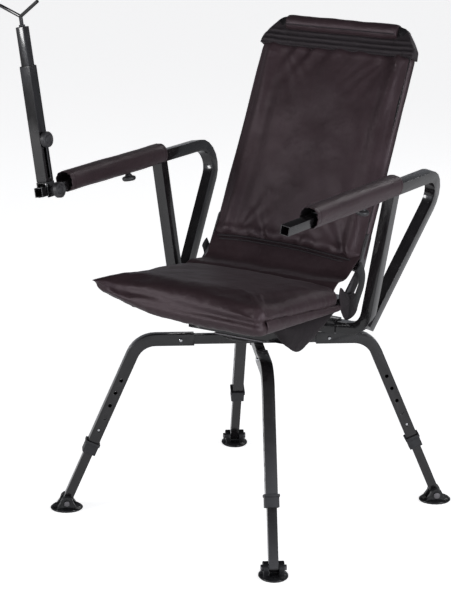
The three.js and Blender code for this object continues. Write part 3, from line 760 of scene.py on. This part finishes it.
def back_cushion():
    layers = [(inset, back_front) for inset in np.linspace(BACK_MIDDLE, 36, 24)]
    for inset, share in BACK_SIDE:
        def depth(x, u, share=share):
            return back_front(x, u) * (1 - share) + back_rear(x, u) * share
        layers.append((inset, depth))
    layers += [(inset, back_rear) for inset in np.linspace(22, BACK_MIDDLE, 22)]
    rings = rings_of((-BACK_HALF, BACK_HALF), (0, BACK_HEIGHT), BACK_CORNER, layers)
    piece = loft("back_cushion", [BACK.at(r[:, [0, 2, 1]]) for r in rings], FABRIC)
    remesh(piece)
    shape_back(piece)
    subdivide(piece)
    attach(piece, "back", "back_pad")
    return piece


# Folds as (x, height above the welt or below the band, slant, half width, length, depth)
WELT_FOLDS = [(-150, 0, -0.2, 15, 26, 4.2), (-96, 8, -0.5, 9, 34, 2.6), (-52, 6, -0.55, 8, 48, 4.6),
              (-12, 2, -0.3, 7, 26, 3.2), (26, 2, 0.3, 8, 30, 3.8), (62, 2, 0.2, 9, 26, 2.4),
              (104, 2, 0.4, 9, 38, 3.0), (150, 4, -0.5, 8, 66, 4.4)]
BAND_FOLDS = [(-152, 0, 0.2, 10, 28, 3.0), (-104, 0, -0.5, 10, 46, 4.2), (-58, 0, -0.6, 9, 50, 4.4),
              (-8, 0, -0.5, 10, 36, 3.6), (44, 0, -0.3, 11, 30, 3.0), (92, 0, 0.3, 10, 34, 3.0),
              (136, 0, 0.4, 9, 44, 3.4)]


def fold_depth(x, distance, folds):
    total = np.zeros_like(x)
    for place, start, slant, width, length, depth in folds:
        middle = place + slant * distance
        spread = width * (1 + 0.5 * distance / length)
        fall = np.exp(-np.maximum(distance - start, 0) / length)
        fall = fall * smoothstep(distance, -8, start + 4)
        beside = 0.55 * depth * gauss(x, middle + 1.7 * spread, spread)
        total += depth * gauss(x, middle, spread) * fall - beside * fall
    return total


def shape_back(piece):
    """Swelling held at the sides and the rear, then gathers along the welt and the top band."""
    local = BACK.local(get_points(piece))
    x, deep, u = local.T
    front = smoothstep(-deep, -BACK_DEPTH * 0.42, -2)
    edges = gauss(u, 3, 12) + gauss(u, BACK_HEIGHT - 2, 16) + gauss(np.abs(x), HEM_X, 12)
    inflate(piece, np.clip(1 - front + edges, 0, 1), BACK_PRESSURE, BACK_CAP)
    local = BACK.local(get_points(piece))
    x, deep, u = local.T
    front = smoothstep(-deep, -BACK_DEPTH * 0.5, -4)
    above = u - welt_height(x)
    below = PAD_TOP - u
    wave = (ripple(local * [1, 0.3, 0.6], 110, 2.3) * 3.0
            + ripple(local * [1, 0.3, 0.5], 52, 9.7) * 0.7 + ripple(local, 17, 4.1) * 0.15)
    gathers = 1.5 * (fold_depth(x, np.maximum(above, 0), WELT_FOLDS)
                     + fold_depth(x, np.maximum(below, 0), BAND_FOLDS))
    groove = (5.0 * gauss(above, -3.4, 6.0) - 3.5 * gauss(above, 17, 10)
              + 3.4 * gauss(below, 0, 5.0) - 2.0 * gauss(below, 15, 9))
    hem = 1.4 * gauss(np.abs(x), HEM_X, 3.0) * (deep > BACK_DEPTH * 0.4)
    rear = 1 - smoothstep(-deep, -BACK_DEPTH * 0.8, -BACK_DEPTH * 0.45)
    tubes = 1.3 * gauss(np.abs(x), TUBE_X - 2, 9) - 1.4 * gauss(np.abs(x), TUBE_X - 20, 9)
    ridge = 3.0 * gauss(np.abs(x), RIDGE_X, 12) - 1.0 * gauss(np.abs(x), 132, 14)
    face = wave * (0.45 + 0.55 * front) + (ridge - gathers - groove) * front
    push_out(piece, face - hem + tubes * rear)


WELTS = ((0.0, 2.5), (7.6, 2.2))         # drop below the line, and radius
PIPING_X, PIPING_DEPTH = 196.0, 22.0


def welts(cushion):
    """The double piping over the joint of the back's face and the lumbar panel."""
    for number, (drop, radius) in enumerate(WELTS):
        path = []
        for x in np.linspace(-HEM_X, HEM_X, 95):
            rise = welt_height(x) - drop + 0.5 * sin(x / 23)
            wrap = 11.0 * smoothstep(abs(x), 160, 189)
            depth = -2.6 + 0.8 * number + wrap + 0.5 * sin(x / 31 + number)
            path.append(BACK.at((x, depth, rise)))
        attach(cord(f"back_welt_{number + 1}", path, radius, BINDING), "back")
    for side, name in SIDES:
        path = [BACK.at((side * PIPING_X, PIPING_DEPTH, u))
                for u in np.linspace(24, PAD_TOP - 12, 90)]
        seam = cord(f"back_side_piping_{name}", snap(cushion, path, 0.2), 1.3, BINDING, sides=6)
        attach(seam, "back")


ROLL_D, ROLL_U, ROLL_R, ROLL_HALF = 15.5, 533.0, 17.6, 140.0
SHOULDER = [(0, 531), (134, 531), (140, 547), (150, 547.5), (163, 540.5), (176, 523.5),
            (187.5, 507), (194, 497)]        # outline of the top cover, as (x, height)
COVER_LOW = 476.0
COVER_LINES = ((499, 2.2, 2.6), (512, 1.8, 2.6), (487, 2.0, 3.0))     # height, depth, half width
COVER_ROLL = 5.0                             # radius of the cover's top edge


def top_cover():
    """The cover over the frame's shoulders, which falls away to both corners."""
    outer = np.linspace(136, SHOULDER[-1][0], 24)
    stations = np.unique(np.concatenate([np.linspace(-134, 134, 55), outer, -outer]))
    rings = []
    for x in stations:
        top = np.interp(abs(x), *zip(*SHOULDER))
        tall = top - COVER_ROLL - COVER_LOW
        corner = smoothstep(abs(x), 140, 190)
        front_low, rear_low = 4.5 - 6.0 * corner, BACK_DEPTH - 1.5
        front_top, rear_top = 12.0 - 8.0 * corner, 30.0
        profile = []
        for v in np.linspace(0, 1, 26):
            u = COVER_LOW + tall * v
            lines = sum(depth * gauss(u, line, half) for line, depth, half in COVER_LINES)
            profile.append((x, front_low + (front_top - front_low) * v - lines, u))
        middle, half = (front_top + rear_top) / 2, (rear_top - front_top) / 2
        for angle in np.radians([150, 120, 90, 60, 30]):
            profile.append((x, middle + half * cos(angle),
                            top - COVER_ROLL + COVER_ROLL * sin(angle)))
        for v in np.linspace(1, 0, 10):
            profile.append((x, rear_low + (rear_top - rear_low) * v, COVER_LOW + tall * v))
        profile.append((x, BACK_DEPTH / 2, COVER_LOW))
        rings.append(BACK.at(profile))
    piece = loft("back_top_cover", rings, BINDING)
    subdivide(piece)
    local = BACK.local(get_points(piece))
    push_out(piece, ripple(local * [1, 1, 0.8], 30, 6.2) * 0.9
             + ripple(local * [2.2, 1, 0.5], 24, 1.2) * 0.7)
    attach(piece, "back")


def roll_cover():
    """The padded sleeve round the top tube, gathered a little at its open ends."""
    rings = []
    for x in np.linspace(-ROLL_HALF - 2, ROLL_HALF + 2, 60):
        end = smoothstep(abs(x), ROLL_HALF - 8, ROLL_HALF + 2)
        ring = []
        for a in np.arange(36) * 2 * pi / 36:
            r = (ROLL_R + 1.3 - 1.6 * end + 0.5 * sin(7 * a) * end
                 + 0.35 * sin(x / 21 + 2 * a))
            flat = 0.9 * max(0.0, -sin(a)) ** 2
            ring.append((x, ROLL_D - r * cos(a), ROLL_U + r * sin(a) + flat))
        rings.append(BACK.at(ring))
    for x_end, order in ((-1, 0), (1, -1)):
        centre = BACK.at((x_end * (ROLL_HALF - 9), ROLL_D, ROLL_U))
        near, far = [rings[order] + (centre - rings[order]) * k for k in (0.16, 0.2)]
        rings = [far, near] + rings if order == 0 else rings + [near, far]
    piece = loft("back_roll_cover", rings, FABRIC)
    subdivide(piece)
    local = BACK.local(get_points(piece))
    push_out(piece, ripple(local * [0.8, 1, 1], 26, 3.3) * 0.7)
    attach(piece, "back", "top_roll")
    path = [BACK.at((x, ROLL_D - ROLL_R - 0.8, ROLL_U - 9))
            for x in np.linspace(-ROLL_HALF, ROLL_HALF, 40)]
    attach(cord("back_roll_seam", path, 1.2, BINDING, sides=6), "back")


# The lumbar panel's rows as (y, z, half width), from the welt down and forward onto the seat
LUMBAR = [(136, 578, 187), (124, 570, 187), (112, 559, 186), (101, 547, 184), (91, 537, 182),
          (80, 531, 181), (67, 529, 181), (53, 530, 183), (40, 531, 185), (27, 531.5, 188),
          (14, 526, 189), (2, 516, 189)]
LUMBAR_ROWS, LUMBAR_COLUMNS, LUMBAR_THICKNESS = 56, 82, 3.2


def smooth_rows(rows, count):
    """A Catmull-Rom curve through the rows, sampled evenly by row number."""
    rows = np.array(rows, float)
    padded = np.vstack([2 * rows[0] - rows[1], rows, 2 * rows[-1] - rows[-2]])
    result = []
    for s in np.linspace(0, len(rows) - 1, count):
        k = min(int(s), len(rows) - 2)
        t = s - k
        p0, p1, p2, p3 = padded[k:k + 4]
        result.append(0.5 * (2 * p1 + (p2 - p0) * t + (2 * p0 - 5 * p1 + 4 * p2 - p3) * t ** 2
                             + (3 * p1 - p0 - 3 * p2 + p3) * t ** 3))
    return np.array(result)


def bend_over_hinge(piece, node):
    """Bakes a cloth piece's placement into its points, in place of a CAD node."""
    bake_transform(piece)
    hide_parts(node)


def lumbar_panel():
    """The quilted panel that closes the gap between back and seat."""
    grid = []
    for number, (y, z, half) in enumerate(smooth_rows(LUMBAR, LUMBAR_ROWS)):
        v = number / (LUMBAR_ROWS - 1)
        bulge = sin(pi * v)
        row = []
        for w in np.linspace(-1, 1, LUMBAR_COLUMNS):
            edge = abs(w) ** 6
            droop = welt_height(w * half) - welt_height(0)
            sag = 5.5 * droop / 15 * (1 - smoothstep(v, 0, 0.35))
            fold = 2.2 * fractal((w * 3.1, v * 1.7, 4.4)) * bulge ** 0.5
            crease = 2.0 * gauss(w * half + 60 + 70 * v, 0, 16) * bulge
            row.append((CENTRE + w * half, y + 2 * edge * v - fold * 0.8 + crease,
                        z + sag + fold + 1.5 * edge))
        grid.append(row)
    piece = sheet("lumbar_panel", np.array(grid) * MM, FABRIC, LUMBAR_THICKNESS)
    subdivide(piece)
    bend_over_hinge(piece, "lumbar_flap")


# ---- Seat sides, pouch and side straps ----

WRAP_BEND = 0.55         # share of the band's width that stands on the rail's side
WRAP_LOW = -4.0


def seat_wraps():
    """The lower bands of the cover: from the cushion's seam down the rail and a little under it."""
    for side, name in SIDES:
        grid = []
        for s in np.linspace(HANG_REAR - 12, SEAT_REAR + 6, 62):
            seam = float(seat_seam(s)) + 4.0
            row = []
            for v in np.linspace(0, 1, 16):
                if v < WRAP_BEND:
                    k = v / WRAP_BEND
                    x = SEAT_HALF - 6.0 + 0.5 * k + 5.5 * sin(pi * k) ** 0.8
                    h = seam + (WRAP_LOW - seam) * k
                else:
                    k = (v - WRAP_BEND) / (1 - WRAP_BEND)
                    x = SEAT_HALF - 5.5 - 22 * k
                    h = WRAP_LOW - 2.0 * sin(pi * k)
                pleat = fractal((s / 31, v * 2.3, side * 3.0))
                row.append((side * (x + pleat), s, h + 0.6 * pleat))
            grid.append(SEAT.at(row))
        grid = np.array(grid)
        if side < 0:
            shape = grid.shape
            grid = SEAT.at(squeeze_corner(SEAT.local(grid.reshape(-1, 3)))).reshape(shape)
        piece = sheet(f"seat_wrap_{name}", grid, FABRIC, 2.0)
        subdivide(piece)
        attach(piece, "seat")


POUCH_FRONT, POUCH_REAR, POUCH_SAG = -197.0, 39.0, 73.0
POUCH_X, POUCH_HALF, POUCH_TOP = 156.0, 28.5, -4.5
POUCH_VOXEL = 4.5


def pouch():
    """A gathered bag that hangs under the rail on the sitter's left, deepest near its middle."""
    rings = []
    for s in np.linspace(POUCH_FRONT, POUCH_REAR, 46):
        t = (s - POUCH_FRONT) / (POUCH_REAR - POUCH_FRONT)
        sag = POUCH_SAG * (1 - abs(2 * t ** 0.9 - 1) ** 1.45) + 3.0
        ring = []
        for a in np.arange(32) * 2 * pi / 32:
            c, d = cos(a), sin(a)
            low = (1 - d) / 2
            middle, half = POUCH_X + 6 * low, POUCH_HALF * (1 - 0.62 * low ** 1.6)
            ring.append((middle + half * copysign(abs(c) ** 0.8, c), s,
                         POUCH_TOP - sag / 2 + sag / 2 * d))
        rings.append(SEAT.at(ring))
    # The bag takes the near-black cloth: painted shade under the seat, on the same fabric as the seat
    piece = loft("seat_pouch_bag", rings, SHADED_CLOTH)
    remesh(piece, POUCH_VOXEL)
    local = SEAT.local(get_points(piece))
    slack = smoothstep(-local[:, 2], 4, 40)
    push_out(piece, (ripple(local * [1, 0.8, 0.35], 40, 7.7) * 2.2
                     + ripple(local * [1, 1.2, 0.4], 18, 2.2) * 0.5) * slack)
    subdivide(piece)
    attach(piece, "seat", "seat_pouch")


# Middle line of each side strap as (y, z), and the cuff's outline, in the model's own axes
STRAP = [(103, 557), (112, 545), (118, 530), (114, 513), (103, 496), (94, 481), (90, 470)]
STRAP_X, STRAP_HALF, STRAP_ROWS = 196.5, 13.0, 44
CUFF = [(104, 458), (106, 480), (99, 495), (84, 501), (66, 503), (48, 508), (35, 519), (25, 526),
        (21, 510), (25, 485), (36, 464), (52, 447), (72, 445), (92, 449)]
# The cuff's section from its inner to its outer face, as (share of the way to its middle, x)
CUFF_SECTION = [(1.0, 192.5), (0.35, 192.5), (0.05, 193.0), (0.0, 194.6), (0.03, 197.0),
                (0.1, 198.6), (0.4, 199.8), (1.0, 200.2)]


def side_straps():
    for side, name in SIDES:
        grid = []
        line = smooth_rows(STRAP, STRAP_ROWS)
        along = np.gradient(line, axis=0)
        along /= np.linalg.norm(along, axis=1, keepdims=True)
        for number, (point, step) in enumerate(zip(line, along)):
            v = number / (STRAP_ROWS - 1)
            across = np.array([step[1], -step[0]])
            row = []
            for w in np.linspace(-1, 1, 9):
                y, z = point - across * w * (STRAP_HALF + 2.0 * v)
                bow = 1.6 * (1 - w * w) + 2.0 * sin(pi * v)
                row.append((CENTRE + side * (STRAP_X + bow), y, z))
            grid.append(row)
        strap = sheet(f"side_strap_web_{name}", np.array(grid) * MM, WEBBING, 2.0)
        subdivide(strap)
        bend_over_hinge(strap, f"side_strap_{name}")
        outline = smooth_rows(CUFF + [CUFF[0]], 60)[:-1]
        middle = outline.mean(0)
        rings = []
        for inset, x in CUFF_SECTION:
            ring = []
            for number, (y, z) in enumerate(outline):
                wave = 0.8 * sin(number * 0.9) * inset * (1 - inset) * 2
                y, z = np.array((y, z)) + (middle - (y, z)) * min(inset, 0.98)
                ring.append((CENTRE + side * (x + wave), y, z))
            rings.append(np.array(ring) * MM)
        cuff = loft(f"side_cuff_{name}", rings, BINDING)
        subdivide(cuff)
        attach(cuff, "seat")


# ---- Arm sleeves ----

SLEEVE_FRONT, SLEEVE_REAR = -298.0, 68.0
SLEEVE_HALF, SLEEVE_LOW, SLEEVE_HIGH = 22.0, -15.5, 30.0
SLEEVE_WALL = 2.2
TUBE_FIT = 12.9                          # half the arm tube, with a little air
# The inner wall closes onto the tube inside, and the cover gathers round it at the rear
INNER_ENDS = ((-196, 0.96), (-199, 0.6), (-203, 0.2), (-208, 0.0))
REAR_ENDS = ((-1.6, 0.05), (0, 0.2), (0.3, 0.5), (-0.4, 0.8), (-1.2, 0.97))


def sleeve_section(half_width, low, high, power=2.35):
    """A rounded section: nearly a circle, a little squared at its corners."""
    middle, half_height = (low + high) / 2, (high - low) / 2
    points = []
    for a in np.arange(48) * 2 * pi / 48 + pi / 48:
        c, s = cos(a), sin(a)
        points.append((half_width * copysign(abs(c) ** (2 / power), c),
                       middle + half_height * copysign(abs(s) ** (2 / power), s)))
    return np.array(points)


def arm_sleeves():
    outer = sleeve_section(SLEEVE_HALF, SLEEVE_LOW, SLEEVE_HIGH)
    inner = sleeve_section(SLEEVE_HALF - SLEEVE_WALL, SLEEVE_LOW + SLEEVE_WALL,
                           SLEEVE_HIGH - SLEEVE_WALL)
    tube = sleeve_section(TUBE_FIT, -TUBE_FIT, TUBE_FIT, 14)
    turns = np.arctan2(outer[:, 1] - (SLEEVE_LOW + SLEEVE_HIGH) / 2, outer[:, 0])
    direction = np.stack([np.cos(turns), np.sin(turns)], 1)
    for name, axes in ARMS.items():
        rings = [(y, inner * (1 - blend) + tube * blend) for y, blend in INNER_ENDS]
        rings += [(y, inner) for y in np.linspace(-214, SLEEVE_FRONT + 1.2, 18)]
        shaded_inside = len(rings) * len(outer)
        rings.append((SLEEVE_FRONT, inner * 0.6 + outer * 0.4))
        rings.append((SLEEVE_FRONT + 0.1, inner * 0.25 + outer * 0.75))
        rings += [(y, outer) for y in np.linspace(SLEEVE_FRONT + 1.2, SLEEVE_REAR - 4, 92)]
        rings += [(SLEEVE_REAR + y, outer * (1 - blend) + tube * blend) for y, blend in REAR_ENDS]
        shaped = []
        for y, section in rings:
            along = min(max((y - SLEEVE_FRONT) / (SLEEVE_REAR - SLEEVE_FRONT), 0), 1)
            near_mouth = exp(-(y - SLEEVE_FRONT) / 11)
            near_rear = exp(-abs(SLEEVE_REAR - 6 - y) / 9)
            lobes = (0.9 * near_mouth + 0.25 * near_rear) * np.sin(12 * turns)
            long_folds = 0.5 * np.sin(3 * turns + y / 60) * sin(pi * along)
            wide = section + direction * (lobes - 0.6 * near_mouth + long_folds)[:, None]
            shaped.append(axes.at(np.column_stack([wide[:, 0], np.full(len(wide), y), wide[:, 1]])))
        piece = loft(f"arm_sleeve_cover_{name}", shaped, FABRIC, closed_ends=False)
        # The inner wall is coloured with the near-black cloth: painted shade inside the sleeve's mouth
        piece.data.materials.append(SHADED_CLOTH)
        for polygon in piece.data.polygons:
            if min(polygon.vertices) < shaded_inside:
                polygon.material_index = 1
        subdivide(piece)
        local = axes.local(get_points(piece))
        depth = (ripple(local * [1, 0.22, 1], 26, 1.9) * 0.9
                 + ripple(local * [1, 0.5, 1], 14, 6.6) * 0.2)
        hem = gauss(local[:, 1], SLEEVE_FRONT + 11, 1.6) + gauss(local[:, 1], SLEEVE_REAR - 11, 1.4)
        seam = gauss(local[:, 0], 0, 1.6) * (local[:, 2] < SLEEVE_LOW + 6)
        push_out(piece, depth - 0.7 * hem - 0.8 * seam)
        attach(piece, "seat", f"arm_sleeve_{name}")


# ---- Stage ----

LIGHT_TARGET = (0, 0, 0.55)
# Name, place, size, power and colour of each soft box, in metres and watts
LIGHTS = [("key", (-2.4, -3.6, 1.9), (0.9, 1.5), 62, (1, 1, 1)),
          ("fill", (3.6, -0.6, 1.5), (0.6, 2.0), 64, (0.95, 0.97, 1.0)),
          ("back", (0.6, 3.2, 2.4), (2.0, 0.6), 16, (1, 1, 1)),
          ("strip", (1.0, -4.2, 0.45), (0.5, 1.2), 5, (0.90, 0.94, 1.0)),
          ("glint", (-1.5, 3.2, 1.8), (0.8, 0.30), 0.8, (1, 1, 1))]
FLOOR_HALF = 14.0


def area_light(name, place, size, power, color):
    data = bpy.data.lights.new(name, "AREA")
    data.shape = "RECTANGLE"
    data.size, data.size_y = size
    data.energy = power
    data.color = color
    light = new_object(name, data)
    light.location = place
    aim = Vector(LIGHT_TARGET) - Vector(place)
    light.rotation_euler = aim.to_track_quat("-Z", "Y").to_euler()


def stage():
    corners = [(x * FLOOR_HALF, y * FLOOR_HALF, 0) for x, y in ((-1, -1), (1, -1), (1, 1), (-1, 1))]
    make_mesh("floor", corners, [(0, 1, 2, 3)], floor_material(), smooth=False)
    studio_world()
    for light in LIGHTS:
        area_light(*light)
    bpy.context.scene.view_settings.view_transform = "Standard"


def ray_kind(tree, kind):
    """1 for rays of one kind: Is Camera Ray, or Is Glossy Ray for reflections."""
    return tree.nodes.new("ShaderNodeLightPath").outputs[kind]


SWEEP_DIRECTION = (0.6, -0.8, 0.0)      # the side of the room with the bright sweep
# Colour of the room by height, from the horizon to the zenith
SWEEP = [(0.0, (1.05, 1.08, 1.18)), (0.22, (0.95, 0.98, 1.06)), (0.48, (0.17, 0.17, 0.18)),
         (1.0, (0.10, 0.10, 0.11))]


def studio_world():
    """A white backdrop for the camera. All else sees a sweep, bright low down and dim overhead."""
    world = bpy.data.worlds.new("studio")
    world.use_nodes = True
    tree = world.node_tree
    place = tree.nodes.new("ShaderNodeTexCoord").outputs["Generated"]
    split = add(tree, "ShaderNodeSeparateXYZ", Vector=place)
    height = ramp(tree, split.outputs["Z"], SWEEP)
    facing = add(tree, "ShaderNodeMapRange", Value=dot(tree, place, SWEEP_DIRECTION),
                 From_Min=-0.3, From_Max=0.9, To_Min=0.16, To_Max=1.0)
    sweep = add(tree, "ShaderNodeVectorMath", operation="SCALE", Scale=facing.outputs["Result"])
    tree.links.new(height, sweep.inputs[0])
    seen = mix_colors(tree, ray_kind(tree, "Is Camera Ray"), sweep.outputs["Vector"], (1, 1, 1, 1))
    wire(tree, tree.nodes["Background"], Color=seen)
    bpy.context.scene.world = world


# How much the floor glows for the camera, in reflections, and for everything
FLOOR_SEEN, FLOOR_MIRRORED, FLOOR_GLOW = 0.70, 0.08, 0.10


def floor_material():
    """A pale matt floor, lifted towards white for the camera so that only contact shadows stay."""
    material, tree, shader = new_material("floor")
    mirrored = scaled(tree, ray_kind(tree, "Is Glossy Ray"), FLOOR_MIRRORED)
    seen = scaled(tree, ray_kind(tree, "Is Camera Ray"), FLOOR_SEEN)
    lift = combine(tree, seen, combine(tree, mirrored, FLOOR_GLOW))
    wire(tree, shader, Base_Color=(0.80, 0.80, 0.81, 1), Roughness=0.9,
         Emission_Color=(1, 1, 1, 1), Emission_Strength=lift)
    return material


CAMERA_PLACE = (2255.8, -3819.4, 1699.4)      # from the swivel axis at floor level, in millimetres
CAMERA_TARGET = (-4.5, -117.6, 500.3)
CAMERA_ROLL = radians(0.7)
LENS, SENSOR = 84.53, 24.0


def camera():
    data = bpy.data.cameras.new("camera")
    data.sensor_fit = "VERTICAL"
    data.sensor_height = SENSOR
    data.lens = LENS
    data.clip_end = 50
    view = new_object("camera", data)
    axis = Vector((SWIVEL_X, 0, 0))
    view.location = Vector(CAMERA_PLACE) * MM + axis
    aim = Vector(CAMERA_TARGET) * MM + axis - view.location
    rotation = aim.to_track_quat("-Z", "Y").to_matrix().to_4x4()
    view.rotation_euler = (rotation @ Matrix.Rotation(CAMERA_ROLL, 4, "Z")).to_euler()
    bpy.context.scene.camera = view


dress_cad_nodes()
seat_cushion()
seat_wraps()
pouch()
back = back_cushion()
welts(back)
top_cover()
roll_cover()
lumbar_panel()
side_straps()
arm_sleeves()
stage()
camera()
